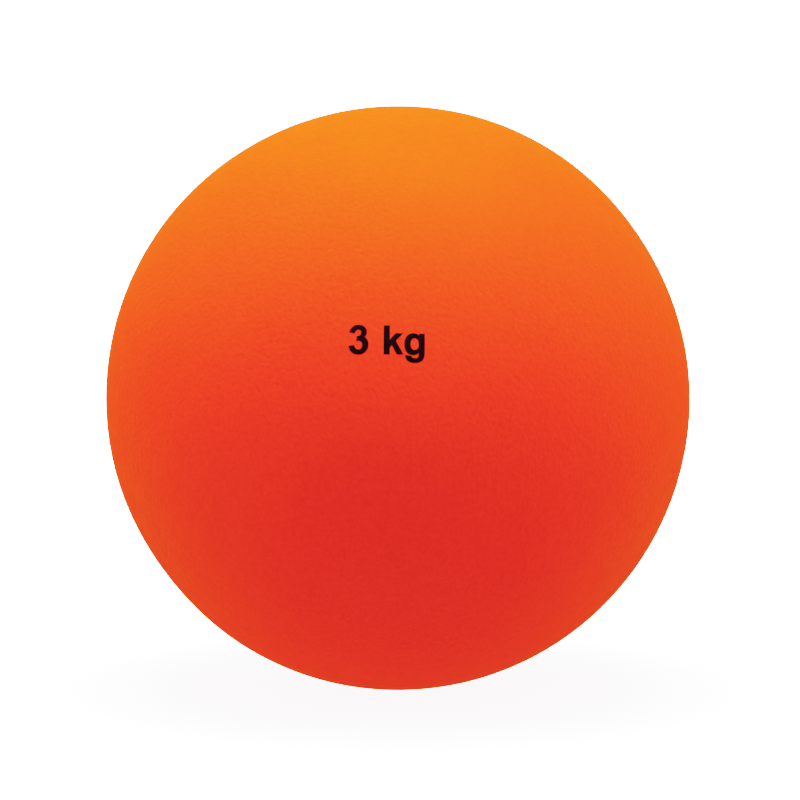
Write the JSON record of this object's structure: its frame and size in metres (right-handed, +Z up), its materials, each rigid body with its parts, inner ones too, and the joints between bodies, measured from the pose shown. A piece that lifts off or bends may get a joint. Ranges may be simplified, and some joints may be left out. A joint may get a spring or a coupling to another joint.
{
  "type": "medicine ball",
  "caption": "Smooth round weighted ball with a soft moulded shell, a sand filling and a pull-out valve plug, for lifting, catching and throwing exercises.",
  "frame": {"origin": "centre of the ball", "axes": "+Z up; +Y along the valve's axis, out of the ball at the back; the printed weight mark is on the front, which faces -Y"},
  "size_m": [0.155, 0.1546, 0.155],
  "materials": {
    "shell_pvc": "satin",
    "bung_pvc": "satin",
    "plug_pvc": "satin",
    "sand": "matte",
    "black_ink": "matte"
  },
  "bodies": {
    "ball": {"shell": "shell_pvc", "valve_bung": "bung_pvc", "sand_fill": "sand", "weight_mark": "black_ink"},
    "plug": {"valve_plug": "plug_pvc"}
  },
  "joints": [
    {"name": "plug_pull", "type": "slide", "parent": "ball", "child": "plug", "axis": [0, 1, 0], "range_m": [0, 0.022]}
  ]
}
